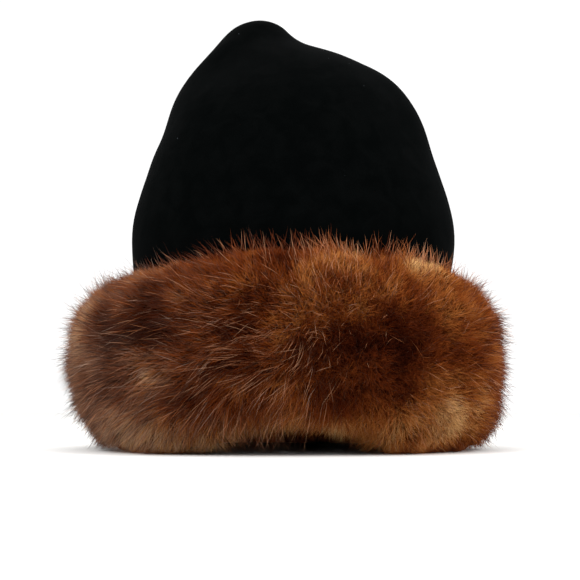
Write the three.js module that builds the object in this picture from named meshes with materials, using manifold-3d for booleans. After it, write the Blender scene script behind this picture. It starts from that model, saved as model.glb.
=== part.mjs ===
// A tall soft cap of black velour felt with a deep brown fur cuff.
// Millimetres, +Z up, the face side towards -Y, the origin in the middle of the face that it rests on.
import * as THREE from "three";
import { mergeVertices } from "three/addons/utils/BufferGeometryUtils.js";
import Module from "manifold-3d";

const wasm = await Module();
wasm.setup();

// Felt crown
const feltWall = 2.2;
const crownAround = 46; // facets round the crown
const crownUp = 20; // facets from the rim to the peak
const normalStep = 0.004; // share of the surface over which a normal is measured

// Outer surface of the crown: how far it reaches from the middle line at each height.
const crownSections = [
  { height: 22, left: 86, right: 86.5, front: 100, back: 100 },
  { height: 45, left: 87, right: 89, front: 100.5, back: 100.5 },
  { height: 85, left: 91.5, right: 98, front: 100.5, back: 101 },
  { height: 125, left: 95.5, right: 106.5, front: 97, back: 99 },
  { height: 155, left: 90.5, right: 101.5, front: 89, back: 95 },
  { height: 185, left: 83.5, right: 92.5, front: 77, back: 88 },
  { height: 212, left: 76, right: 82, front: 61, back: 75 },
  { height: 231, left: 64.5, right: 68.5, front: 44, back: 60 },
  { height: 245, left: 54, right: 45, front: 29, back: 46 },
  { height: 255, left: 46.5, right: 23, front: 18, back: 36 },
  { height: 263, left: 40, right: 7.5, front: 13, back: 31 },
  { height: 270, left: 31.5, right: -0.5, front: 6, back: 23 },
];
const peak = { x: -16, y: 8, height: 275 };

// Soft dents, pressed in over an ellipsoid of the given spreads.
const dents = [
  { x: -79, y: -5, height: 201, spreadX: 22, spreadY: 34, spreadUp: 9, depth: 4 }, // kink in the left outline
  { x: 13, y: -4, height: 262, spreadX: 9, spreadY: 26, spreadUp: 9, depth: 2.2 }, // beside the peak
  { x: -40, y: -40, height: 229, spreadX: 16, spreadY: 18, spreadUp: 9, depth: 3 }, // under the peak's fold
  { x: 70, y: -48, height: 196, spreadX: 12, spreadY: 20, spreadUp: 26, depth: 3 }, // inside the shoulder fold
  { x: 34, y: 60, height: 222, spreadX: 26, spreadY: 20, spreadUp: 14, depth: 4 }, // plain hollow at the back
];

// Soft folds, raised along a line that is drawn in the front view. The side says which face carries them.
const folds = [
  { side: "front", fromX: -24, fromHeight: 258, toX: -55, toHeight: 236, width: 5, rise: 2 },
  { side: "front", fromX: 68, fromHeight: 232, toX: 86, toHeight: 190, width: 6, rise: 2.2 },
  { side: "front", fromX: 44, fromHeight: 214, toX: 74, toHeight: 198, width: 7, rise: 1.6 },
  { side: "front", fromX: -90, fromHeight: 150, toX: -88, toHeight: 122, width: 4, rise: 1.4 },
  { side: "back", fromX: -8, fromHeight: 256, toX: 40, toHeight: 214, width: 8, rise: 2 },
  { side: "back", fromX: -30, fromHeight: 250, toX: -58, toHeight: 200, width: 8, rise: 2 },
];
const foldFade = 26; // depth over which a fold fades in from the side outline

// Fur cuff
const seatGap = 0.4; // air between the felt and the cuff
const cuffAround = 48;
const cuffUp = 12;
const cuffCorner = 2.5; // exponent of the section: 2 is an ellipse, more is boxier
const rimHeight = crownSections[0].height; // the felt's lower edge, wrapped by the fur below it
const backingWall = crownSections[2]; // the crown's section that the backing is measured from

// The cuff at stations round the rim, in degrees from +X through the back. The bottom is below the table
// where the fur is pressed flat on it.
const cuffStations = [
  { around: 0, bottom: -1, widest: 52, top: 95, thickness: 29 },
  { around: 45, bottom: -4, widest: 52, top: 99, thickness: 36 },
  { around: 90, bottom: -4, widest: 52, top: 99, thickness: 35 },
  { around: 135, bottom: -4, widest: 52, top: 97, thickness: 37 },
  { around: 180, bottom: 9, widest: 52, top: 94, thickness: 34.5 },
  { around: 225, bottom: -1, widest: 51, top: 98, thickness: 38 },
  { around: 270, bottom: 17, widest: 56, top: 106, thickness: 35 },
  { around: 315, bottom: -3, widest: 52, top: 103, thickness: 37 },
];

// Locks of fur
const lockRows = 7;
const locksPerRow = 26;
const lockLength = 29;
const lockLift = 6; // how far the tip stands off the backing
const lockSections = [
  { along: 0, lift: -3, width: 19, depth: 8 }, // the root is set into the backing
  { along: 0.5, lift: 1.5, width: 24, depth: 6.4 },
];
const lowestLock = -74; // section angles, in degrees, of the first and last rows
const highestLock = 76;
const partingAround = 278; // where the fur parts at the front, in degrees like the stations
const partingWidth = 20;
const closingFrom = 150; // how far round from the parting the two sides start to meet again
const roundFlow = 0.9; // how strongly the locks run round the cuff
const edgeFlow = 0.95; // how strongly they run towards the nearer edge
const droop = 0.35; // how strongly they hang at the widest part
const lockJitter = 0.3;
const smallestEdge = 0.3; // finer slivers where locks cross are merged away
const tableSlab = { reach: 400, depth: 60 }; // what lies under the table is cut away

const degrees = Math.PI / 180;

// A small repeatable random source, so that each build gives the same locks.
let seed = 7;
const random = () => {
  seed = (seed * 16807) % 2147483647;
  return seed / 2147483647;
};
const jitter = (size) => (random() - 0.5) * 2 * size;

// Gives a smooth bell that is 1 at the middle and falls off with distance.
const bell = (distance) => Math.exp(-distance * distance / 2);

// The meridian of the crown at one angle, as a smooth curve from the rim to the peak.
const meridians = new Map();
function crownMeridian(angle) {
  const key = angle.toFixed(6);
  if (!meridians.has(key)) {
    const points = crownSections.map(({ height, left, right, front, back }) => new THREE.Vector3(
      (right - left) / 2 + (right + left) / 2 * Math.cos(angle),
      (back - front) / 2 + (back + front) / 2 * Math.sin(angle),
      height,
    ));
    points.push(new THREE.Vector3(peak.x, peak.y, peak.height));
    meridians.set(key, new THREE.CatmullRomCurve3(points, false, "centripetal"));
  }
  return meridians.get(key);
}

// Points and normals of a surface that is given as a function of two shares.
function normalOf(surface, share, angle) {
  const low = Math.max(share - normalStep, 0);
  const high = Math.min(share + normalStep, 1 - normalStep / 2);
  const along = surface(high, angle).sub(surface(low, angle));
  const round = surface(share, angle + normalStep).sub(surface(share, angle - normalStep));
  return round.cross(along).normalize();
}

const smoothCrown = (share, angle) => crownMeridian(angle).getPoint(share);

function foldRise(point) {
  let rise = 0;
  for (const fold of folds) {
    const start = new THREE.Vector2(fold.fromX, fold.fromHeight);
    const run = new THREE.Vector2(fold.toX, fold.toHeight).sub(start);
    const here = new THREE.Vector2(point.x, point.z).sub(start);
    const along = THREE.MathUtils.clamp(here.dot(run) / run.lengthSq(), 0, 1);
    const distance = here.sub(run.multiplyScalar(along)).length();
    const depth = fold.side === "front" ? peak.y - point.y : point.y - peak.y;
    rise += fold.rise * bell(distance / fold.width) * THREE.MathUtils.smoothstep(depth, 0, foldFade);
  }
  return rise;
}

function dentDepth(point) {
  return dents.reduce((sum, dent) => sum + dent.depth * bell(Math.hypot(
    (point.x - dent.x) / dent.spreadX,
    (point.y - dent.y) / dent.spreadY,
    (point.z - dent.height) / dent.spreadUp,
  )), 0);
}

function foldedCrown(share, angle) {
  const point = smoothCrown(share, angle);
  const shift = foldRise(point) - dentDepth(point);
  return point.addScaledVector(normalOf(smoothCrown, Math.min(share, 1 - normalStep), angle), shift);
}

function offsetCrown(share, angle, offset) {
  const normal = normalOf(foldedCrown, share, angle);
  return foldedCrown(share, angle).addScaledVector(normal, offset);
}

// A grid of points as triangles. Rows run upwards and columns run anticlockwise seen from above.
function stitch(faces, rows, columns, firstOf, inward) {
  for (let row = 0; row < rows - 1; row += 1) {
    for (let column = 0; column < columns; column += 1) {
      const next = (column + 1) % columns;
      const a = firstOf(row) + column;
      const b = firstOf(row) + next;
      const c = firstOf(row + 1) + next;
      const d = firstOf(row + 1) + column;
      faces.push(...(inward ? [a, c, b, a, d, c] : [a, b, c, a, c, d]));
    }
  }
}

function fan(faces, first, columns, tip, inward) {
  for (let column = 0; column < columns; column += 1) {
    const next = (column + 1) % columns;
    faces.push(...(inward ? [first + next, first + column, tip] : [first + column, first + next, tip]));
  }
}

function geometryFrom(points, faces) {
  const geometry = new THREE.BufferGeometry().setFromPoints(points);
  geometry.setIndex(faces);
  return geometry;
}

// One closed skin of the crown, offset from its outer surface, as rings and a peak.
function crownSkin(offset) {
  const points = [];
  for (let row = 0; row < crownUp; row += 1) {
    for (let column = 0; column < crownAround; column += 1) {
      const angle = column / crownAround * 2 * Math.PI;
      const point = offsetCrown(row / crownUp, angle, offset);
      if (row === 0) point.z = rimHeight; // the raw edge is cut level
      points.push(point);
    }
  }
  points.push(new THREE.Vector3(peak.x, peak.y, peak.height + offset));
  return points;
}

function crownGeometry() {
  const outer = crownSkin(0);
  const inner = crownSkin(-feltWall);
  const innerFirst = outer.length;
  const faces = [];
  stitch(faces, crownUp, crownAround, (row) => row * crownAround, false);
  fan(faces, (crownUp - 1) * crownAround, crownAround, innerFirst - 1, false);
  stitch(faces, crownUp, crownAround, (row) => innerFirst + row * crownAround, true);
  fan(faces, innerFirst + (crownUp - 1) * crownAround, crownAround, innerFirst * 2 - 1, true);
  stitch(faces, 2, crownAround, (row) => (row === 0 ? innerFirst : 0), false); // the rim's edge
  return geometryFrom([...outer, ...inner], faces);
}

// A measure of the cuff at any angle, on a smooth closed curve through the stations.
function cuffAt(angle, column) {
  const count = cuffStations.length;
  const place = THREE.MathUtils.euclideanModulo(angle / (2 * Math.PI), 1) * count;
  const station = (shift) => cuffStations[(Math.floor(place) + shift + count) % count][column];
  const [before, start, end, after] = [station(-1), station(0), station(1), station(2)];
  const share = place - Math.floor(place);
  const startSlope = (end - before) / 2;
  const endSlope = (after - start) / 2;
  const turn = 2 * start - 2 * end + startSlope + endSlope;
  return start + share * (startSlope + share * (end - start - startSlope - turn + share * turn));
}

// The crown's outer wall inside the cuff, seen from above.
function wallPoint(angle) {
  const { left, right, front, back } = backingWall;
  const x = (right - left) / 2 + (right + left) / 2 * Math.cos(angle);
  const y = (back - front) / 2 + (back + front) / 2 * Math.sin(angle);
  return new THREE.Vector2(x, y);
}

// The dense surface of the fur. Sweep runs from -90 degrees at the rim's underside to 90 at the top.
function cuffPoint(angle, sweep) {
  const power = 2 / cuffCorner;
  const widest = cuffAt(angle, "widest");
  const end = cuffAt(angle, sweep < 0 ? "bottom" : "top");
  const out = cuffAt(angle, "thickness") * Math.max(Math.cos(sweep), 0) ** power;
  const height = widest + (end - widest) * Math.abs(Math.sin(sweep)) ** power;
  const outward = new THREE.Vector2(Math.cos(angle), Math.sin(angle));
  const place = wallPoint(angle).addScaledVector(outward, out);
  return new THREE.Vector3(place.x, place.y, height);
}

function cuffNormal(angle, sweep) {
  const round = cuffPoint(angle + normalStep, sweep).sub(cuffPoint(angle - normalStep, sweep));
  const along = cuffPoint(angle, sweep + normalStep).sub(cuffPoint(angle, sweep - normalStep));
  return round.cross(along).normalize();
}

// The backing, still filled in to the middle line.
function backingGeometry() {
  const points = [];
  for (let row = 0; row <= cuffUp; row += 1) {
    const sweep = (row / cuffUp - 0.5) * Math.PI;
    for (let column = 0; column < cuffAround; column += 1) {
      points.push(cuffPoint(column / cuffAround * 2 * Math.PI, sweep));
    }
  }
  const faces = [];
  stitch(faces, cuffUp + 1, cuffAround, (row) => row * cuffAround, false);
  points.push(new THREE.Vector3(0, 0, cuffStations[0].bottom));
  fan(faces, 0, cuffAround, points.length - 1, true);
  points.push(new THREE.Vector3(0, 0, cuffStations[0].top));
  fan(faces, cuffUp * cuffAround, cuffAround, points.length - 1, false);
  return geometryFrom(points, faces);
}

// Which way the fur lies: away from the front parting, up at the top, down below the middle.
function lockRun(angle, sweep) {
  const fromParting = THREE.MathUtils.euclideanModulo(angle / degrees - partingAround + 180, 360) - 180;
  const closing = 1 - THREE.MathUtils.smoothstep(Math.abs(fromParting), closingFrom, 180);
  const round = Math.tanh(fromParting / partingWidth) * closing * roundFlow;
  const upward = Math.sin(sweep) * edgeFlow - Math.cos(sweep) * droop;
  return new THREE.Vector2(round + jitter(lockJitter), upward + jitter(lockJitter)).normalize();
}

// A lock as a tapered tuft that follows the surface and lifts off towards its tip.
function lockGeometry(angle, sweep) {
  const run = lockRun(angle, sweep);
  const length = lockLength * (1 + jitter(lockJitter / 2));
  const perAngle = cuffPoint(angle + normalStep, sweep).distanceTo(cuffPoint(angle, sweep)) / normalStep;
  const perSweep = cuffPoint(angle, sweep + normalStep).distanceTo(cuffPoint(angle, sweep)) / normalStep;
  const at = (share, lift) => {
    const there = [angle + run.x * length * share / perAngle, sweep + run.y * length * share / perSweep];
    const normal = cuffNormal(...there);
    return { place: cuffPoint(...there).addScaledVector(normal, lift), normal };
  };
  const tip = at(1, lockLift * (1 + jitter(lockJitter))).place;
  const points = [];
  for (const { along, lift, width, depth } of lockSections) {
    const { place, normal } = at(along, lift);
    const side = normal.clone().cross(tip.clone().sub(place)).normalize();
    for (const [across, out] of [[-1, 0], [0, -1], [1, 0], [0, 1]]) {
      const corner = place.clone().addScaledVector(side, across * width / 2);
      points.push(corner.addScaledVector(normal, out * depth / 2));
    }
  }
  points.push(tip);
  const faces = [0, 2, 1, 0, 3, 2];
  stitch(faces, 2, 4, (row) => row * 4, false);
  fan(faces, 4, 4, 8, false);
  return geometryFrom(points, faces);
}

function solidFrom(geometry) {
  const merged = mergeVertices(geometry, 1e-4);
  return new wasm.Manifold(new wasm.Mesh({
    numProp: 3,
    vertProperties: new Float32Array(merged.attributes.position.array),
    triVerts: new Uint32Array(merged.index.array),
  }));
}

function geometryOf(solid) {
  const { numProp, vertProperties, triVerts } = solid.getMesh();
  const points = [];
  for (let i = 0; i < vertProperties.length; i += numProp) {
    points.push(new THREE.Vector3(...vertProperties.subarray(i, i + 3)));
  }
  return geometryFrom(points, Array.from(triVerts));
}

// The room that the crown and the head need: the crown grown by the gap, open through the fur below it.
function hollowSolid() {
  const skin = crownSkin(seatGap);
  const opening = crownSkin(-feltWall).slice(0, crownAround);
  const below = opening.map((point) => new THREE.Vector3(point.x, point.y, -tableSlab.depth));
  const ledge = rimHeight - seatGap;
  const rings = [
    below,
    opening.map((point) => new THREE.Vector3(point.x, point.y, ledge)),
    skin.slice(0, crownAround).map((point) => new THREE.Vector3(point.x, point.y, ledge)),
  ];
  const points = [...rings.flat(), ...skin.slice(crownAround)];
  const rows = crownUp + 2;
  const faces = [];
  stitch(faces, rows, crownAround, (row) => row * crownAround, false);
  points.push(new THREE.Vector3(0, 0, -tableSlab.depth));
  fan(faces, 0, crownAround, points.length - 1, true);
  fan(faces, (rows - 1) * crownAround, crownAround, points.length - 2, false);
  return solidFrom(geometryFrom(points, faces));
}

function tableSolid() {
  const slab = new THREE.BoxGeometry(tableSlab.reach, tableSlab.reach, tableSlab.depth);
  slab.translate(0, 0, -tableSlab.depth / 2);
  slab.deleteAttribute("normal");
  slab.deleteAttribute("uv");
  return solidFrom(slab);
}

function cuffGeometry() {
  const locks = [];
  for (let row = 0; row < lockRows; row += 1) {
    const sweep = THREE.MathUtils.lerp(lowestLock, highestLock, row / (lockRows - 1)) * degrees;
    for (let column = 0; column < locksPerRow; column += 1) {
      const angle = (column + row % 2 / 2 + jitter(lockJitter)) / locksPerRow * 2 * Math.PI;
      locks.push(solidFrom(lockGeometry(angle, sweep)));
    }
  }
  const fur = wasm.Manifold.union([solidFrom(backingGeometry()), ...locks]);
  const cut = fur.subtract(hollowSolid()).subtract(tableSolid());
  const bodies = cut.asOriginal().simplify(smallestEdge).decompose();
  bodies.sort((one, other) => other.volume() - one.volume());
  return geometryOf(bodies[0]); // the ring itself, without the pockets closed in between locks
}

function makePart(name, geometry, look) {
  const mesh = new THREE.Mesh(geometry, new THREE.MeshStandardMaterial(look));
  mesh.name = name;
  return mesh;
}

const cap = new THREE.Group();
cap.add(
  makePart("felt_crown", crownGeometry(), { color: 0x0b0c0c, roughness: 0.95, metalness: 0 }),
  makePart("fur_cuff", cuffGeometry(), { color: 0x5a2f17, roughness: 0.8, metalness: 0 }),
);

export default cap;
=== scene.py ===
import math

import bpy
import numpy as np
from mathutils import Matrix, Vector, noise
from mathutils.kdtree import KDTree


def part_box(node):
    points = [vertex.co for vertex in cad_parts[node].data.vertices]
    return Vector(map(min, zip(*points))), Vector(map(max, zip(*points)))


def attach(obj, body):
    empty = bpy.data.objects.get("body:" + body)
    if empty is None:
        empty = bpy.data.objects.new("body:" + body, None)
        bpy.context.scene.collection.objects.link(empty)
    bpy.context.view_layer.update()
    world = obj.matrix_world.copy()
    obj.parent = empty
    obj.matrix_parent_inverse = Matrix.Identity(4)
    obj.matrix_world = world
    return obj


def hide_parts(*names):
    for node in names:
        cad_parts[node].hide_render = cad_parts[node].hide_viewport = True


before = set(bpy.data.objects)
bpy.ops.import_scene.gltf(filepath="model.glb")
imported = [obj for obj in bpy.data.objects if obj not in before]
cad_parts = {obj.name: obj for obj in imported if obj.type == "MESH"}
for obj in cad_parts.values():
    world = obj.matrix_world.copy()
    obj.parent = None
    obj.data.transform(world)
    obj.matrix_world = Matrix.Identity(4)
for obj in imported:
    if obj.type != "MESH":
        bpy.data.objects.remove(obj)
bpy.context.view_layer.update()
crownLow = np.array(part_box("felt_crown")[0])
cuffLow, cuffHigh = (np.array(corner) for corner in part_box("fur_cuff"))
print("frame loaded")


# Colours are written as sRGB hex and turned to linear here.
def linear(hexColour):
    channels = [int(hexColour[i:i + 2], 16) / 255 for i in (1, 3, 5)]
    bent = [c / 12.92 if c <= 0.04045 else ((c + 0.055) / 1.055) ** 2.4 for c in channels]
    return (*bent, 1.0)


# Adds one node, sets its values and joins its inputs to other nodes' outputs.
def addNode(tree, kind, values=(), links=(), **settings):
    node = tree.nodes.new(kind)
    for key, value in settings.items():
        setattr(node, key, value)
    for key, value in dict(values).items():
        node.inputs[key].default_value = value
    for key, output in dict(links).items():
        tree.links.new(output, node.inputs[key])
    return node


# A ramp through (place, hex colour) stops.
def addRamp(tree, factor, stops):
    ramp = addNode(tree, "ShaderNodeValToRGB", links={"Fac": factor})
    while len(ramp.color_ramp.elements) < len(stops):
        ramp.color_ramp.elements.new(1.0)
    for element, (place, hexColour) in zip(ramp.color_ramp.elements, stops):
        element.position = place
        element.color = linear(hexColour)
    return ramp.outputs["Color"]


def newMaterial(name):
    material = bpy.data.materials.new(name)
    material.use_nodes = True
    tree = material.node_tree
    tree.nodes.clear()
    shader = addNode(tree, "ShaderNodeBsdfPrincipled")
    addNode(tree, "ShaderNodeOutputMaterial", links={"Surface": shader.outputs["BSDF"]})
    return material, tree, shader


def selectOnly(piece):
    bpy.ops.object.select_all(action="DESELECT")
    piece.select_set(True)
    bpy.context.view_layer.objects.active = piece


mergeWithin = 0.00005


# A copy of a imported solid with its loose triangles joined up, to be shaped into the visible piece.
def copyOfNode(node, name):
    piece = bpy.data.objects.new(name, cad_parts[node].data.copy())
    bpy.context.scene.collection.objects.link(piece)
    selectOnly(piece)
    bpy.ops.object.mode_set(mode="EDIT")
    bpy.ops.mesh.select_all(action="SELECT")
    bpy.ops.mesh.remove_doubles(threshold=mergeWithin)
    bpy.ops.mesh.normals_make_consistent(inside=False)
    bpy.ops.object.mode_set(mode="OBJECT")
    return piece


def applyModifier(piece, kind, **settings):
    selectOnly(piece)
    modifier = piece.modifiers.new(kind.title(), kind)
    for key, value in settings.items():
        setattr(modifier, key, value)
    bpy.ops.object.modifier_apply(modifier=modifier.name)


def dress(piece, material):
    piece.data.materials.clear()
    piece.data.materials.append(material)
    selectOnly(piece)
    bpy.ops.object.shade_smooth()
    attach(piece, "root")


# The camera

cameraView = {
    "place": (0.0031, -0.622, 0.022),  # close in front and low, just above the table
    "pitch": 6.9,  # degrees upwards
    "lens": 62.3,
    "sensor": 36.0,
    "nearest": 0.01,
}


def placeCamera(view):
    bpy.ops.object.camera_add(location=view["place"], rotation=(math.radians(90 + view["pitch"]), 0, 0))
    camera = bpy.context.object
    camera.name = "camera"
    camera.data.lens = view["lens"]
    camera.data.sensor_width = view["sensor"]
    camera.data.clip_start = view["nearest"]
    bpy.context.scene.camera = camera


placeCamera(cameraView)
print("camera placed")


# Table, backdrop and light

studio = {
    "reach": 30.0,  # the table runs on far past the picture
    "paper": "#f7f6f4",
    "air": "#ffffff",
    "airStrength": 1.08,
}

lamps = [
    # place, size in metres, watts
    {"name": "softboxLeft", "place": (-1.1, -1.3, 1.5), "size": 1.2, "power": 22},
    {"name": "softboxRight", "place": (1.3, -0.9, 1.3), "size": 1.0, "power": 16},
    {"name": "softboxTop", "place": (0.0, 0.5, 1.9), "size": 1.6, "power": 10},
]
lampAim = (0, 0, 0.12)


def makeStudio(setup):
    bpy.ops.object.select_all(action="DESELECT")
    bpy.ops.mesh.primitive_plane_add(size=setup["reach"])
    paper = bpy.context.object
    paper.name = "paperTable"
    # Matt photographic paper.
    material, tree, shader = newMaterial("paperTable")
    shader.inputs["Base Color"].default_value = linear(setup["paper"])
    shader.inputs["Roughness"].default_value = 0.9
    paper.data.materials.append(material)
    world = bpy.data.worlds.new("studioAir")
    world.use_nodes = True
    background = world.node_tree.nodes["Background"]
    background.inputs["Color"].default_value = linear(setup["air"])
    background.inputs["Strength"].default_value = setup["airStrength"]
    bpy.context.scene.world = world
    bpy.context.scene.view_settings.view_transform = "Standard"


def makeLamp(lamp):
    towards = Vector(lampAim) - Vector(lamp["place"])
    turned = towards.to_track_quat("-Z", "Y").to_euler()
    bpy.ops.object.light_add(type="AREA", location=lamp["place"], rotation=turned)
    light = bpy.context.object
    light.name = lamp["name"]
    light.data.size = lamp["size"]
    light.data.energy = lamp["power"]


makeStudio(studio)
for lamp in lamps:
    makeLamp(lamp)
print("studio lit")


# The felt crown

feltCrown = {
    "quadAngle": math.radians(60),  # the most that two triangles made one face may bend
    "smoothing": 2,  # subdivision levels
    "dimpleSize": 0.055,  # soft unevenness of a felt body that was blocked by hand
    "dimpleDepth": 0.0016,
    "nap": 0.0007,  # grain of the brushed pile, coarser than real so that it shows
    "napBump": 0.00012,
    "sheenPatches": 0.012,  # patches of painted sheen, where the pile lies another way
    "pile": "#020303",
    # painted sheen: the lighter colour of pile that lies another way
    "pileSheen": "#040505",
    "lint": "#474c50",
    "lintSpacing": 0.015,
    "lintSize": 0.00028,
}


# Velour felt: wool or rabbit felt with a raised, brushed pile. It swallows light face on, and shows a thin
# cool sheen where the pile is seen from the side.
def velourFelt(look):
    material, tree, shader = newMaterial("velourFelt")
    place = addNode(tree, "ShaderNodeTexCoord").outputs["Object"]
    sheenPatches = addNode(tree, "ShaderNodeTexNoise", links={"Vector": place},
                      values={"Scale": 1 / look["sheenPatches"], "Detail": 3, "Roughness": 0.5,
                              "Distortion": 0.6})
    nap = addNode(tree, "ShaderNodeTexNoise", links={"Vector": place},
                  values={"Scale": 1 / look["nap"], "Detail": 2, "Roughness": 0.6})
    # Painted sheen: the colour runs from the pile's black to a lighter shade in patches where the pile is
    # turned, over its grain.
    turned = addNode(tree, "ShaderNodeMath", operation="MULTIPLY_ADD",
                     links={0: nap.outputs["Fac"], 2: sheenPatches.outputs["Fac"]}, values={1: 0.5})
    pile = addRamp(tree, turned.outputs["Value"], [(0.62, look["pile"]), (0.95, look["pileSheen"])])
    # Lint sits in a few cells of a coarse cell pattern, as a speck near the cell's own point.
    cells = addNode(tree, "ShaderNodeTexVoronoi", links={"Vector": place},
                    values={"Scale": 1 / look["lintSpacing"]})
    near = addNode(tree, "ShaderNodeMath", operation="LESS_THAN", links={0: cells.outputs["Distance"]},
                   values={1: look["lintSize"] / look["lintSpacing"]})
    mixed = addNode(tree, "ShaderNodeMix", data_type="RGBA",
                    links={"Factor": near.outputs["Value"], 6: pile}, values={7: linear(look["lint"])})
    tree.links.new(mixed.outputs[2], shader.inputs["Base Color"])
    bump = addNode(tree, "ShaderNodeBump", links={"Height": nap.outputs["Fac"]},
                   values={"Strength": 0.6, "Distance": look["napBump"]})
    tree.links.new(bump.outputs["Normal"], shader.inputs["Normal"])
    shader.inputs["Roughness"].default_value = 0.85
    shader.inputs["Specular IOR Level"].default_value = 0.006
    shader.inputs["Sheen Weight"].default_value = 0.006
    shader.inputs["Sheen Roughness"].default_value = 0.35
    shader.inputs["Sheen Tint"].default_value = linear("#b9c6cc")
    return material


def makeFeltCrown(look):
    crown = copyOfNode("felt_crown", "feltCrown")
    bpy.ops.object.mode_set(mode="EDIT")
    bpy.ops.mesh.select_all(action="SELECT")
    bpy.ops.mesh.tris_convert_to_quads(face_threshold=look["quadAngle"], shape_threshold=look["quadAngle"])
    bpy.ops.object.mode_set(mode="OBJECT")
    applyModifier(crown, "SUBSURF", levels=look["smoothing"], render_levels=look["smoothing"])
    dimples = bpy.data.textures.new("dimples", "CLOUDS")
    dimples.noise_scale = look["dimpleSize"]
    applyModifier(crown, "DISPLACE", texture=dimples, texture_coords="LOCAL",
                  strength=look["dimpleDepth"], mid_level=0.5)
    dress(crown, velourFelt(look))
    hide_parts("felt_crown")
    print("felt crown", len(crown.data.polygons), "faces")
    return crown


feltCrownPiece = makeFeltCrown(feltCrown)


# The fur cuff

tiny = 1e-9  # keeps a division from meeting zero
noiseSteps = (3.7, 1.3, 2.1)  # how far apart the noises of two seeds lie


def unit(vectors):
    return vectors / np.maximum(np.linalg.norm(vectors, axis=1, keepdims=True), tiny)


def dot(a, b):
    return (a * b).sum(axis=1)


def smoothStep(low, high, values):
    share = np.clip((values - low) / (high - low), 0, 1)
    return share * share * (3 - 2 * share)


def smoothNoise(points, size, seed):
    shift = Vector([seed * step for step in noiseSteps])
    return np.array([noise.noise(Vector(point) / size + shift) for point in points])


# One property of all the points of a mesh, a row of three numbers for each.
def pointRows(mesh, key):
    rows = np.empty(len(mesh.vertices) * 3)
    mesh.vertices.foreach_get(key, rows)
    return rows.reshape(-1, 3)


# The level direction away from the cap's upright axis.
def outwards(points):
    return unit(points * (1, 1, 0))


# How near points are to a spot on the front: 1 on it, and fading over its spread.
def nearSpot(points, spot):
    apart = (points[:, [0, 2]] - (spot["x"], spot["z"])) / spot["spread"]
    return np.exp(-(apart ** 2).sum(axis=1) / 2)


# Room for the felt and the table

tableClearance = 0.0006
feltClearance = 0.0008
feltSteps = {"height": 0.28, "up": 56, "around": 72}  # the felt's reach is noted in so many steps


# How far the felt reaches out from the upright axis, by step of height and of direction.
def measureFelt(crown):
    points = pointRows(crown.data, "co")
    reach = np.zeros((feltSteps["up"], feltSteps["around"]))
    np.maximum.at(reach, feltStepOf(points), np.linalg.norm(points[:, :2], axis=1))
    rim = int(crownLow[2] / feltSteps["height"] * feltSteps["up"]) + 1
    reach[:rim] = reach[rim]
    return reach


def feltStepOf(points):
    up = np.clip(points[:, 2] / feltSteps["height"] * feltSteps["up"], 0, feltSteps["up"] - 1).astype(int)
    turn = np.arctan2(points[:, 1], points[:, 0]) / (2 * math.pi) % 1
    around = np.minimum((turn * feltSteps["around"]).astype(int), feltSteps["around"] - 1)
    return up, around


def fromFelt(points):
    return np.linalg.norm(points[:, :2], axis=1) - feltReach[feltStepOf(points)]


# Moves points out of the felt, above its rim.
def clearOfFelt(points):
    away = np.linalg.norm(points[:, :2], axis=1)
    least = feltReach[feltStepOf(points)] + feltClearance
    inside = (away < least) & (points[:, 2] > crownLow[2])
    points[inside, :2] *= (least / np.maximum(away, tiny))[inside, None]
    return points


# Keeps every point of a hair off the table and outside the felt.
def keepClear(points):
    points[:, 2] = np.maximum(points[:, 2], tableClearance)
    return clearOfFelt(points)


# The fur's tones

toneField = {
    "middle": 0.46,
    "pelt": 0.020,  # size of the broad tone patches
    "peltShift": 0.30,
    "peltSeed": 11,
    "fleck": 0.0055,  # and of the small ones
    "fleckShift": 0.30,
    "fleckSeed": 12,
    "hairShift": 0.05,  # from hair to hair
    "ends": (0.01, 0.99),
}
frontEdge = (0.02, -0.03)  # from back to front, where the front's own spots set in and are full
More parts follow.
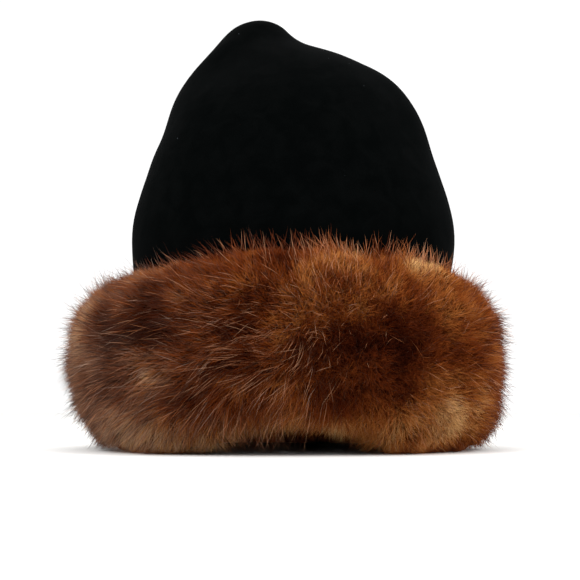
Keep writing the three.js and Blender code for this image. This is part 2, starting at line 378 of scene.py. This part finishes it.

# Tones of the pelts as the front shows them: place and spread (across, up) in metres, shift of tone.
# A few spots paint shade or light into the tone, as marked.
toneSpots = [
    {"x": -0.064, "z": 0.068, "spread": (0.024, 0.011), "shift": -0.38},  # darker patch, left
    {"x": -0.096, "z": 0.040, "spread": (0.014, 0.005), "shift": -0.16},  # dark streak, far left
    {"x": -0.110, "z": 0.076, "spread": (0.012, 0.012), "shift": 0.18},
    {"x": -0.104, "z": 0.054, "spread": (0.008, 0.008), "shift": 0.20},
    {"x": -0.081, "z": 0.055, "spread": (0.008, 0.006), "shift": -0.34},
    {"x": -0.060, "z": 0.046, "spread": (0.018, 0.009), "shift": 0.28},
    {"x": -0.082, "z": 0.014, "spread": (0.014, 0.010), "shift": 0.34},  # tan down, lower left
    {"x": -0.056, "z": 0.096, "spread": (0.026, 0.007), "shift": 0.12},  # warm crest, upper left
    {"x": -0.036, "z": 0.080, "spread": (0.012, 0.005), "shift": 0.20},
    {"x": -0.022, "z": 0.079, "spread": (0.010, 0.006), "shift": -0.22},
    {"x": -0.017, "z": 0.062, "spread": (0.006, 0.005), "shift": -0.34},  # painted shade in a gap where the fur parts, middle
    {"x": -0.024, "z": 0.054, "spread": (0.009, 0.004), "shift": 0.16},  # tan tuft below it
    {"x": -0.034, "z": 0.036, "spread": (0.012, 0.014), "shift": -0.30},
    {"x": 0.006, "z": 0.097, "spread": (0.010, 0.005), "shift": -0.24},
    {"x": -0.028, "z": 0.096, "spread": (0.014, 0.005), "shift": -0.22},
    {"x": 0.006, "z": 0.070, "spread": (0.008, 0.008), "shift": 0.12},
    {"x": -0.008, "z": 0.028, "spread": (0.008, 0.008), "shift": -0.20},
    {"x": 0.010, "z": 0.034, "spread": (0.009, 0.006), "shift": 0.14},
    {"x": 0.034, "z": 0.054, "spread": (0.018, 0.008), "shift": -0.42},  # dark band, right
    {"x": 0.036, "z": 0.031, "spread": (0.012, 0.007), "shift": -0.26},
    {"x": 0.052, "z": 0.078, "spread": (0.006, 0.007), "shift": -0.20},  # painted shade in a cleft above it
    {"x": 0.067, "z": 0.069, "spread": (0.009, 0.008), "shift": -0.30},
    {"x": 0.021, "z": 0.096, "spread": (0.009, 0.006), "shift": 0.38},  # pale down on the crest
    {"x": 0.040, "z": 0.073, "spread": (0.012, 0.006), "shift": 0.16},
    {"x": 0.073, "z": 0.094, "spread": (0.012, 0.009), "shift": 0.50},  # pale down, upper right
    {"x": 0.096, "z": 0.074, "spread": (0.012, 0.010), "shift": 0.16},
    {"x": 0.100, "z": 0.032, "spread": (0.010, 0.010), "shift": 0.16},
    {"x": 0.082, "z": 0.016, "spread": (0.015, 0.010), "shift": 0.42},  # pale down, lower right
    {"x": -0.006, "z": 0.013, "spread": (0.040, 0.008), "shift": 0.74},  # painted light: the fringe at the bottom made paler, as if lit from below
]


# The pelt's tone, 0 dark to 1 pale, with the painted shade and light of a few spots.
def toneAt(place, field):
    tone = field["middle"] + field["peltShift"] * smoothNoise(place, field["pelt"], field["peltSeed"])
    tone += field["fleckShift"] * smoothNoise(place, field["fleck"], field["fleckSeed"])
    front = smoothStep(*frontEdge, place[:, 1])
    for spot in toneSpots:
        tone += spot["shift"] * nearSpot(place, spot) * front
    return np.clip(tone, *field["ends"])


familySpan = 0.48  # share of a tone ramp that each family of tones takes


# One number for a tone and its family: warm brown in the lower half of the range, grey brown in the upper.
def familyTone(tone, grey):
    return tone * familySpan + np.where(grey, 1 - familySpan, 0)


# The two families of tone on one ramp, each from near black brown to pale buff.
def familyStops(warm, grey):
    low = [(place * familySpan, colour) for place, colour in warm]
    return low + [(1 - familySpan + place * familySpan, colour) for place, colour in grey]


downTones = familyStops(
    [(0.0, "#381509"), (0.25, "#5d2711"), (0.5, "#8b451d"), (0.75, "#bf783c"), (1.0, "#ecbd80")],
    [(0.0, "#3a221a"), (0.25, "#583628"), (0.5, "#835843"), (0.75, "#a98065"), (1.0, "#d8b594")])

guardTones = familyStops(
    [(0.0, "#240f08"), (0.3, "#4c2212"), (0.6, "#8a431f"), (0.8, "#c4733f"), (1.0, "#f8c29c")],
    [(0.0, "#241812"), (0.3, "#463026"), (0.6, "#745344"), (0.8, "#a98470"), (1.0, "#e6c8b6")])
# Painted shade: each hair is darkened towards its root, where it lies deep in the fur.
downRootShading = [(0.0, "#a89c94"), (0.5, "#dcd4cc"), (1.0, "#ffffff")]
guardRootShading = [(0.0, "#463c34"), (0.5, "#c2b8b0"), (1.0, "#fff8f0")]


# The hide under the fur

furHide = {
    "voxel": 0.004,
    "ironing": {"factor": 0.6, "iterations": 14},  # takes the modelled locks out
    "innerSide": (0.001, 0.005),  # from the felt, where the furless inner side ends
    "underRim": 0.008,  # depth below the felt's rim at which there is no such side
    "sunk": 0.0062,  # depth of the hide under the fur's own outline
    "lumpSize": 0.020,  # soft rises where the pelts are sewn and filled
    "lumpDepth": 0.0036,
    "lumpIroning": {"factor": 0.5, "iterations": 3},
    "fullFront": (0.05, -0.01),  # from back to front, where the full spots set in and are full
    "fullFacing": -0.2,  # and how far the skin may face inwards there
    "seatHeight": 0.015,  # below this the hide is drawn down to the table
    "pressed": 0.0040,  # the lowest part of it, which lies flat there
    "tuck": 0.0060,  # how far its foot turns in under the fur
    "tucked": (0.002, 0.018),  # from the felt, where that sets in and is full
    "footIroning": {"factor": 0.5, "iterations": 8},
    "ledgeGap": 0.0006,  # of the inner ledge, under the felt's raw edge
    "ledgeReach": 0.003,  # how far above that the ledge's own points lie
    "bareFacing": -0.45,  # skin that faces the felt more than this grows no hair
    "bareUnder": -0.5,  # and neither does skin that faces the table more than this
    "rootShade": 0.75,  # painted shade: how much darker the hide is painted beside the hair on it
}

# Where the cuff is fuller than its even round: place and spread in metres, rise off the hide.
fullSpots = [
    {"x": -0.112, "z": 0.086, "spread": 0.014, "rise": 0.0012},
    {"x": 0.118, "z": 0.050, "spread": 0.024, "rise": 0.0012},
]


# The pelt's skin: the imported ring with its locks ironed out, sunk under the fur.
def makeHide(look):
    hide = copyOfNode("fur_cuff", "furHide")
    applyModifier(hide, "REMESH", mode="VOXEL", voxel_size=look["voxel"])
    # The inner side stays where it is, close to the felt.
    points = pointRows(hide.data, "co")
    low = smoothStep(crownLow[2], crownLow[2] - look["underRim"], points[:, 2])
    shares = np.maximum(smoothStep(*look["innerSide"], fromFelt(points)), low)
    furSide = hide.vertex_groups.new(name="furSide")
    for index, share in enumerate(shares):
        furSide.add([index], share, "REPLACE")
    applyModifier(hide, "SMOOTH", vertex_group="furSide", **look["ironing"])
    applyModifier(hide, "DISPLACE", strength=-look["sunk"], mid_level=0.0, vertex_group="furSide")
    lumps = bpy.data.textures.new("lumps", "CLOUDS")
    lumps.noise_scale = look["lumpSize"]
    applyModifier(hide, "DISPLACE", texture=lumps, texture_coords="LOCAL",
                  strength=look["lumpDepth"], mid_level=0.5, vertex_group="furSide")
    applyModifier(hide, "SMOOTH", vertex_group="furSide", **look["lumpIroning"])
    settleHide(hide, look)
    # Where the foot is pressed flat, a few of its faces have folded over; they are spread out again.
    foot = hide.vertex_groups.new(name="foot")
    foot.add([vertex.index for vertex in hide.data.vertices if vertex.co.z <= 0], 1.0, "REPLACE")
    applyModifier(hide, "SMOOTH", vertex_group="foot", use_z=False, **look["footIroning"])
    dress(hide, peltSkin(look))
    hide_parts("fur_cuff")
    print("hide", len(hide.data.polygons), "faces")
    return hide


# Fills the hide out at its full spots, draws its lowest stretch down to the table, tucks its foot in and
# notes the pelt's tone.
def settleHide(hide, look):
    points = pointRows(hide.data, "co")
    normals = pointRows(hide.data, "normal")
    front = smoothStep(*look["fullFront"], points[:, 1])
    for spot in fullSpots:
        outer = dot(normals, outwards(points)) > look["fullFacing"]
        points += normals * (spot["rise"] * nearSpot(points, spot) * front * outer)[:, None]
    pressed = points[:, 2].min() + look["pressed"]
    share = np.clip((points[:, 2] - pressed) / (look["seatHeight"] - pressed), 0, 1)
    away = fromFelt(points)
    tuck = look["tuck"] * (1 - share) ** 2 * smoothStep(*look["tucked"], away)
    points -= outwards(points) * tuck[:, None]
    points[:, 2] = np.where(points[:, 2] < look["seatHeight"], share * look["seatHeight"], points[:, 2])
    # The ledge inside stays level under the felt's raw edge.
    rim = crownLow[2] - look["ledgeGap"]
    ledge = (away < 0) & (points[:, 2] > rim) & (points[:, 2] < rim + look["ledgeReach"])
    points[ledge, 2] = rim
    points = clearOfFelt(points)
    hide.data.vertices.foreach_set("co", points.ravel())
    hide.data.update()
    tones = hide.data.attributes.new("peltTone", "FLOAT", "POINT")
    tones.data.foreach_set("value", familyTone(toneAt(points, toneField), np.zeros(len(points))))


# Dressed pelt: matt skin in the tone of the hair that grows on it, darkened with painted shade from the
# hair over it.
def peltSkin(look):
    material, tree, shader = newMaterial("peltSkin")
    tone = addNode(tree, "ShaderNodeAttribute", attribute_name="peltTone")
    colour = addRamp(tree, tone.outputs["Fac"], downTones)
    # Painted shade: the skin's colour is darkened as if in the shadow of the hair.
    root = look["rootShade"]
    shaded = addNode(tree, "ShaderNodeMix", data_type="RGBA", blend_type="MULTIPLY", links={6: colour},
                     values={"Factor": 1.0, 7: (root, root, root, 1)})
    tree.links.new(shaded.outputs[2], shader.inputs["Base Color"])
    shader.inputs["Roughness"].default_value = 0.9
    shader.inputs["Specular IOR Level"].default_value = 0.1
    return material


# The way that the hair lies

# Angles round the cuff are in degrees from +X through the back.
furFlow = {
    "front": 270,
    "frontHalf": 48,  # the lay rows hold this far either side of the front
    "frontFade": 34,  # and fade into the plain lay of the sides over this much
    "closingFrom": 150,  # the two ways round meet at the back from here on
    "round": 0.8,
    "heights": (-1.0, -0.5, 0.0, 0.4, 0.72, 1.0),  # from the cuff's bottom to its top
    "upward": (-1.0, -0.8, -0.45, -0.1, 0.4, 1.0),  # how strongly the hair runs up there
    "swirl": 26,  # degrees that the flow wanders
    "swirlSize": 0.022,
    "swirlSeed": 4,
    "ruffle": 24,  # and again in small patches
    "ruffleSize": 0.007,
    "ruffleSeed": 5,
    "unset": 0.02,  # weight of no lay at all, which leaves the hair upright far from every row
}

# The lay of the front: place and spread in metres, heading in degrees, 0 to the right and 90 up, and how
# firmly the hair lies that way.
layRows = [
    {"x": -0.105, "z": 0.088, "heading": 160, "spread": 0.020, "firm": 1.0},
    {"x": -0.112, "z": 0.052, "heading": 184, "spread": 0.020, "firm": 1.0},
    {"x": -0.105, "z": 0.020, "heading": 218, "spread": 0.018, "firm": 1.0},
    {"x": -0.060, "z": 0.080, "heading": 176, "spread": 0.018, "firm": 1.0},
    {"x": -0.066, "z": 0.046, "heading": 208, "spread": 0.018, "firm": 1.0},
    {"x": -0.065, "z": 0.010, "heading": 244, "spread": 0.017, "firm": 1.0},
    {"x": -0.050, "z": 0.110, "heading": 132, "spread": 0.017, "firm": 1.0},
    {"x": -0.012, "z": 0.110, "heading": 106, "spread": 0.016, "firm": 0.9},
    {"x": -0.016, "z": 0.084, "heading": 172, "spread": 0.014, "firm": 0.7},
    {"x": -0.020, "z": 0.058, "heading": 204, "spread": 0.015, "firm": 0.9},
    {"x": 0.004, "z": 0.044, "heading": 228, "spread": 0.018, "firm": 1.0},
    {"x": -0.010, "z": 0.008, "heading": 258, "spread": 0.016, "firm": 0.9},
    {"x": 0.022, "z": 0.066, "heading": 190, "spread": 0.013, "firm": 0.55},
    {"x": 0.034, "z": 0.084, "heading": 160, "spread": 0.012, "firm": 0.15},
    {"x": 0.036, "z": 0.046, "heading": 236, "spread": 0.014, "firm": 0.40},
    {"x": 0.028, "z": 0.110, "heading": 92, "spread": 0.016, "firm": 0.8},
    {"x": 0.070, "z": 0.106, "heading": 78, "spread": 0.018, "firm": 0.7},
    {"x": 0.056, "z": 0.086, "heading": 100, "spread": 0.014, "firm": 0.2},
    {"x": 0.080, "z": 0.072, "heading": 80, "spread": 0.018, "firm": 0.15},
    {"x": 0.108, "z": 0.070, "heading": 40, "spread": 0.018, "firm": 0.35},
    {"x": 0.060, "z": 0.050, "heading": 270, "spread": 0.016, "firm": 0.10},
    {"x": 0.044, "z": 0.018, "heading": 262, "spread": 0.016, "firm": 0.55},
    {"x": 0.088, "z": 0.044, "heading": 300, "spread": 0.016, "firm": 0.15},
    {"x": 0.080, "z": 0.012, "heading": 272, "spread": 0.018, "firm": 0.65},
    {"x": 0.112, "z": 0.030, "heading": 330, "spread": 0.018, "firm": 0.40},
]


# The way that the hair runs: a vector along the hide, short where the lay parts and the hair stands up.
def flowAt(place, normal, flow):
    angle = np.degrees(np.arctan2(place[:, 1], place[:, 0]))
    fromFront = (angle - flow["front"] + 180) % 360 - 180
    closing = 1 - smoothStep(flow["closingFrom"], 180, np.abs(fromFront))
    height = (place[:, 2] - cuffLow[2]) / (cuffHigh[2] - cuffLow[2]) * 2 - 1
    sideLay = np.stack([np.sign(fromFront) * closing * flow["round"],
                        np.interp(height, flow["heights"], flow["upward"])], axis=1)

    frontLay = np.zeros((len(place), 2))
    total = np.full(len(place), flow["unset"])
    for row in layRows:
        weight = nearSpot(place, row)
        heading = math.radians(row["heading"])
        frontLay += weight[:, None] * np.array([math.cos(heading), math.sin(heading)]) * row["firm"]
        total += weight
    frontLay /= total[:, None]

    fade = smoothStep(flow["frontHalf"], flow["frontHalf"] + flow["frontFade"], np.abs(fromFront))[:, None]
    lay = frontLay * (1 - fade) + sideLay * fade
    lay /= np.maximum(np.linalg.norm(lay, axis=1, keepdims=True), 1)
    radians = np.radians(angle)
    roundWay = np.stack([-np.sin(radians), np.cos(radians), np.zeros(len(radians))], axis=1)
    upWay = unit(np.cross(normal, roundWay))
    way = lay[:, :1] * roundWay + lay[:, 1:] * upWay
    turn = np.radians(flow["swirl"]) * 2 * smoothNoise(place, flow["swirlSize"], flow["swirlSeed"])
    turn += np.radians(flow["ruffle"]) * 2 * smoothNoise(place, flow["ruffleSize"], flow["ruffleSeed"])
    across = np.cross(normal, way)
    way = way * np.cos(turn)[:, None] + across * np.sin(turn)[:, None]
    return way - normal * (way * normal).sum(axis=1, keepdims=True)


# Where the hair is longer, denser or greyer

# How tone and hair change across the cuff, from the wearer's right to the left.
acrossCuff = {
    "x": (-0.13, -0.09, -0.05, -0.02, 0.03, 0.09, 0.12),
    "greyShare": (1.0, 0.95, 0.48, 0.18, 0.05, 0.03, 0.03),  # share of hairs with a grey brown shade
    "reach": (1.15, 1.08, 1.0, 1.0, 0.95, 0.95, 1.0),  # share of a hair's usual length
    "guards": (0.95, 0.55, 0.35, 0.30, 0.12, 0.18, 0.95),  # share of guard hairs that stand
    "stout": (1.5, 1.15, 0.95, 0.85, 0.85, 1.0, 1.5),  # share of a guard hair's usual width
    "loose": (0.9, 0.9, 0.9, 0.9, 1.3, 1.6, 1.2),  # share of a hair's usual wandering
}

# And with height: a long fringe over the raised front of the opening, and fewer grey hairs above.
upCuff = {
    "z": (0.0, 0.030, 0.050, 0.080, 0.100),
    "fringe": (1.45, 1.35, 1.0, 1.0, 1.0),
    "foot": (0.75, 1.0, 1.0, 1.0, 1.0),
    "greyShare": (1.0, 1.0, 1.0, 0.75, 0.50),
    "guards": (0.0, 0.0, 0.0, 0.0, 0.42),  # the least share of guard hairs
    "stout": (1.0, 1.0, 1.0, 1.0, 1.35),  # share of a guard hair's usual width
    "redder": (0.0, 0.0, 0.0, 0.0, 0.22),  # rise of a guard hair's tone
}
fringeEdge = (0.080, 0.060)  # from the middle, where the fringe sets in and is full
crestEdge = (0.084, 0.104)  # in height, where the crest does

# Where guard hairs gather in fans on the front: place and spread in metres, the share added there, the
# share painted pale as glints and their length.
guardFans = [
    {"x": 0.004, "z": 0.050, "spread": 0.016, "extra": 0.85, "glint": 0.34, "reach": 1.20},
    {"x": 0.026, "z": 0.086, "spread": 0.014, "extra": 0.70, "glint": 0.42, "reach": 0.85},
    {"x": -0.060, "z": 0.042, "spread": 0.020, "extra": 0.45, "glint": 0.20, "reach": 1.05},
    {"x": -0.092, "z": 0.030, "spread": 0.016, "extra": 0.30, "glint": 0.14, "reach": 1.00},
    {"x": -0.032, "z": 0.068, "spread": 0.012, "extra": 0.40, "glint": 0.35, "reach": 0.90},
    {"x": -0.016, "z": 0.022, "spread": 0.014, "extra": 0.30, "glint": 0.25, "reach": 1.05},
    {"x": 0.076, "z": 0.022, "spread": 0.012, "extra": 0.30, "glint": 0.40, "reach": 0.80},
]


def acrossAt(place, column):
    return np.interp(place[:, 0], acrossCuff["x"], acrossCuff[column])


def upAt(place, column):
    return np.interp(place[:, 2], upCuff["z"], upCuff[column])


# Blends one column of the fans over the front, from a plain value elsewhere.
def fanAt(place, column, plain):
    front = smoothStep(*frontEdge, place[:, 1])
    value = np.full(len(place), float(plain))
    for fan in guardFans:
        value += (fan[column] - plain) * nearSpot(place, fan) * front
    return value


# A hair's length at its root, as a share of its kind's usual length.
def reachAt(place, crest):
    front = smoothStep(*fringeEdge, np.abs(place[:, 0])) * (place[:, 1] < 0)
    low = front * upAt(place, "fringe") + (1 - front) * upAt(place, "foot")
    top = smoothStep(*crestEdge, place[:, 2])
    return acrossAt(place, "reach") * low * (1 + (crest - 1) * top)


# The hair

underfur = {
    "name": "underfur",
    "material": "minkDown",  # fine down that scatters the light, quite matt
    "roughness": 0.95,
    "shine": 0.0,
    "seed": 21,
    "pieces": 4,
    "count": 160000,
    "rings": (0.0,),  # places along a hair with their own three corners
    "length": 0.0102,
    "lengthSpread": 0.25,
    "crest": 0.56,  # share of that length on the cuff's top
    "width": 0.00037,  # a tuft of down, coarser than one real hair so that it shows
    "lean": 60,  # degrees off the hide
    "leanSpread": 15,
    "wander": 0.40,  # how far a hair strays from the lay
    "curl": 0.10,
    "tuft": 20,  # hairs that gather to one tip
    "tuftPull": 0.20,
    "toneShift": 0.0,
    "toneShare": 1.0,  # how far a hair follows the pelt's tone
    "guard": False,
    "glint": 0.0,  # the last two are explained below, with the guard hair
    "greyGlint": 1.0,
}

guardHair = {
    "name": "guardHair",
    "material": "minkGuardHair",  # smooth stiff hair with a soft gloss along it
    "roughness": 0.40,
    "shine": 0.06,
    "seed": 22,
    "pieces": 2,
    "count": 38000,
    "rings": (0.0, 0.5),
    "length": 0.0160,
    "lengthSpread": 0.35,
    "crest": 1.0,
    "width": 0.00024,
    "lean": 36,
    "leanSpread": 15,
    "wander": 0.21,
    "curl": 0.14,
    "tuft": 5,
    "tuftPull": 0.22,
    "toneShift": -0.06,
    "toneShare": 0.6,
    "guard": True,
    "glint": 0.12,  # share of hairs painted pale, painted glints for the light that they catch
    "greyGlint": 0.5,  # share of them that keep a grey shade where others do
}

# What both kinds of hair have in common.
hairForm = {
    "turnDown": 0.5,  # share of the curl that turns down to the hide
    "stray": 0.5,  # and share that goes any way
    "taper": 0.55,  # share of its width that a hair loses towards its tip
    # tones of the hairs painted pale as glints
    "glintTones": (0.8, 1.0),
}

# the export bakes a piece through a map of this name
hairMap = "OFBake"  # the map that carries each hair's tone and height along it


# Fur: each hair's colour is read from its own map, across for the pelt's tone and up from root to tip,
# where painted shade darkens it towards the root.
def hairMaterial(kind, tones, rootShading):
    material, tree, shader = newMaterial(kind["material"])
    place = addNode(tree, "ShaderNodeUVMap", uv_map=hairMap)
    split = addNode(tree, "ShaderNodeSeparateXYZ", links={"Vector": place.outputs["UV"]})
    tone = addRamp(tree, split.outputs["X"], tones)
    # painted shade along the hair, darkest at the root
    shade = addRamp(tree, split.outputs["Y"], rootShading)
    mixed = addNode(tree, "ShaderNodeMix", data_type="RGBA", blend_type="MULTIPLY",
                    values={"Factor": 1.0}, links={6: tone, 7: shade})
    tree.links.new(mixed.outputs[2], shader.inputs["Base Color"])
    shader.inputs["Roughness"].default_value = kind["roughness"]
    shader.inputs["Specular IOR Level"].default_value = kind["shine"]
    return material


# Roots spread evenly over the hide's outer side, each with the hide's normal there.
def plantRoots(hide, count, rng):
    mesh = hide.data
    mesh.calc_loop_triangles()
    triangles = np.empty(len(mesh.loop_triangles) * 3, np.int32)
    mesh.loop_triangles.foreach_get("vertices", triangles)
    triangles = triangles.reshape(-1, 3)
    corners = pointRows(mesh, "co")
    normals = pointRows(mesh, "normal")
    a, b, c = (corners[triangles[:, i]] for i in range(3))
    middle = (a + b + c) / 3
    facing = unit(np.cross(b - a, c - a))
    # The side that lies against the felt and the part that the cuff rests on grow no hair.
    against = dot(facing, outwards(middle)) < furHide["bareFacing"]
    under = (facing[:, 2] < furHide["bareUnder"]) & (middle[:, 2] < furHide["seatHeight"] / 2)
    area = np.linalg.norm(np.cross(b - a, c - a), axis=1) / 2 * ~(against | under)
    picked = rng.choice(len(triangles), count, p=area / area.sum())
    share = np.sort(rng.random((count, 2)), axis=1)
    weights = np.stack([share[:, 0], share[:, 1] - share[:, 0], 1 - share[:, 1]], axis=1)
    chosen = triangles[picked]
    place = (corners[chosen] * weights[:, :, None]).sum(axis=1)
    normal = unit((normals[chosen] * weights[:, :, None]).sum(axis=1))
    return place, normal


# Only some guard hairs stand where the cuff is mostly down.
def thinOut(place, normal, rng):
    share = acrossAt(place, "guards") + fanAt(place, "extra", 0)
    stands = rng.random(len(place)) < np.maximum(share, upAt(place, "guards"))
    return place[stands], normal[stands]


# For each hair the number of the one whose tip its tuft gathers to.
def gatherTufts(place, perTuft):
    tufts = max(len(place) // perTuft, 1)
    tree = KDTree(tufts)
    for i in range(tufts):
        tree.insert(place[i], i)
    tree.balance()
    return np.array([tree.find(point)[1] for point in place])


# The corners of every strand: three at each ring along it and one at its tip.
def shapeStrands(place, normal, kind, rng):
    count = len(place)
    way = flowAt(place, normal, furFlow)
    tuft = gatherTufts(place, kind["tuft"])
    lean = np.radians(kind["lean"] + kind["leanSpread"] * rng.standard_normal(count))
    start = way * np.cos(lean)[:, None] + normal * np.sin(lean)[:, None]
    loose = kind["wander"] * acrossAt(place, "loose")[:, None]
    start = unit(start + loose * rng.standard_normal((count, 3)))
    length = kind["length"] * (1 + kind["lengthSpread"] * rng.uniform(-1, 1, count))
    length *= reachAt(place, kind["crest"])
    radius = np.full(count, kind["width"] / 2 * (1))
    if kind["guard"]:
        length *= fanAt(place, "reach", 1)
        radius *= acrossAt(place, "stout") * upAt(place, "stout")
    stray = hairForm["stray"] * rng.standard_normal((count, 3))
    curl = kind["curl"] * (way - normal * hairForm["turnDown"] + stray)
    tip = place + length[:, None] * (start + curl)
    gather = kind["tuftPull"] * (tip[tuft] - tip)

    def along(share):
        bent = place + length[:, None] * (start * share + curl * share ** 2)
        return keepClear(bent + gather * share ** 2)

    corners = np.empty((count, len(kind["rings"]) * 3 + 1, 3))
    side = unit(np.cross(start, rng.standard_normal((count, 3))))
    other = np.cross(start, side)
    for ring, share in enumerate(kind["rings"]):
        middle = along(share)
        thick = (radius * (1 - share * hairForm["taper"]))[:, None]
        for corner in range(3):
            turn = corner * 2 * math.pi / 3
            out = side * math.cos(turn) + other * math.sin(turn)
            corners[:, ring * 3 + corner] = middle + out * thick
    corners[:, -1] = along(1.0)
    corners[:, :, 2] = np.maximum(corners[:, :, 2], tableClearance / 2)
    return corners


# The triangles of one strand, closed at its root and pointed at its tip.
def strandFaces(rings):
    faces = [(0, 2, 1)]
    for ring in range(rings - 1):
        for corner in range(3):
            a, b = ring * 3 + corner, ring * 3 + (corner + 1) % 3
            faces += [(a, b, b + 3), (a, b + 3, a + 3)]
    last = (rings - 1) * 3
    faces += [(last + corner, last + (corner + 1) % 3, rings * 3) for corner in range(3)]
    return np.array(faces)


# Each hair's place on the tone ramp.
def shadeHairs(place, kind, rng):
    count = len(place)
    tone = toneField["middle"] + (toneAt(place, toneField) - toneField["middle"]) * kind["toneShare"]
    tone += kind["toneShift"] + toneField["hairShift"] * rng.standard_normal(count)
    glintShare = kind["glint"]
    if kind["guard"]:
        tone += upAt(place, "redder")
        glintShare = fanAt(place, "glint", kind["glint"])
    # Painted glints: some hairs are painted pale to stand for the light that they catch.
    glint = rng.random(count) < glintShare
    tone = np.where(glint, rng.uniform(*hairForm["glintTones"], count), tone)
    greyShare = acrossAt(place, "greyShare") * upAt(place, "greyShare")
    greyShare *= np.where(glint, kind["greyGlint"], 1)
    return familyTone(np.clip(tone, *toneField["ends"]), rng.random(count) < greyShare)


# One piece of hair as a mesh, with each hair's tone and height along it in its map.
def makeHairPiece(name, corners, faces, tone, up, material):
    vertices = corners.reshape(-1, 3)
    firsts = np.arange(len(corners)) * corners.shape[1]
    loops = (faces[None] + firsts[:, None, None]).reshape(-1)
    mesh = bpy.data.meshes.new(name)
    mesh.vertices.add(len(vertices))
    mesh.vertices.foreach_set("co", vertices.ravel())
    mesh.loops.add(len(loops))
    mesh.loops.foreach_set("vertex_index", loops)
    mesh.polygons.add(len(loops) // 3)
    mesh.polygons.foreach_set("loop_start", np.arange(0, len(loops), 3))
    shades = mesh.uv_layers.new(name=hairMap)
    across = np.repeat(tone, faces.size)
    height = np.tile(up[faces.ravel()], len(corners))
    shades.uv.foreach_set("vector", np.stack([across, height], axis=1).ravel())
    mesh.update(calc_edges=True)
    piece = bpy.data.objects.new(name, mesh)
    bpy.context.scene.collection.objects.link(piece)
    dress(piece, material)


# Grows one kind of hair over the hide as tapered three-sided strands, and hands them out to a few pieces
# by their direction round the cuff.
def growHair(hide, kind, material):
    rng = np.random.default_rng(kind["seed"])
    count = kind["count"]
    place, normal = plantRoots(hide, count, rng)
    if kind["guard"]:
        place, normal = thinOut(place, normal, rng)
    corners = shapeStrands(place, normal, kind, rng)
    faces = strandFaces(len(kind["rings"]))
    up = np.append(np.repeat(kind["rings"], 3), 1.0)
    tone = shadeHairs(place, kind, rng)
    turnOrder = np.argsort(np.arctan2(place[:, 1], place[:, 0]))
    for number, members in enumerate(np.array_split(turnOrder, kind["pieces"]), start=1):
        makeHairPiece(kind["name"] + str(number), corners[members], faces, tone[members], up, material)
    print(kind["name"], len(place), "hairs", len(faces) * len(place), "triangles")


feltReach = measureFelt(feltCrownPiece)
cuffHide = makeHide(furHide)
growHair(cuffHide, underfur, hairMaterial(underfur, downTones, downRootShading))
growHair(cuffHide, guardHair, hairMaterial(guardHair, guardTones, guardRootShading))
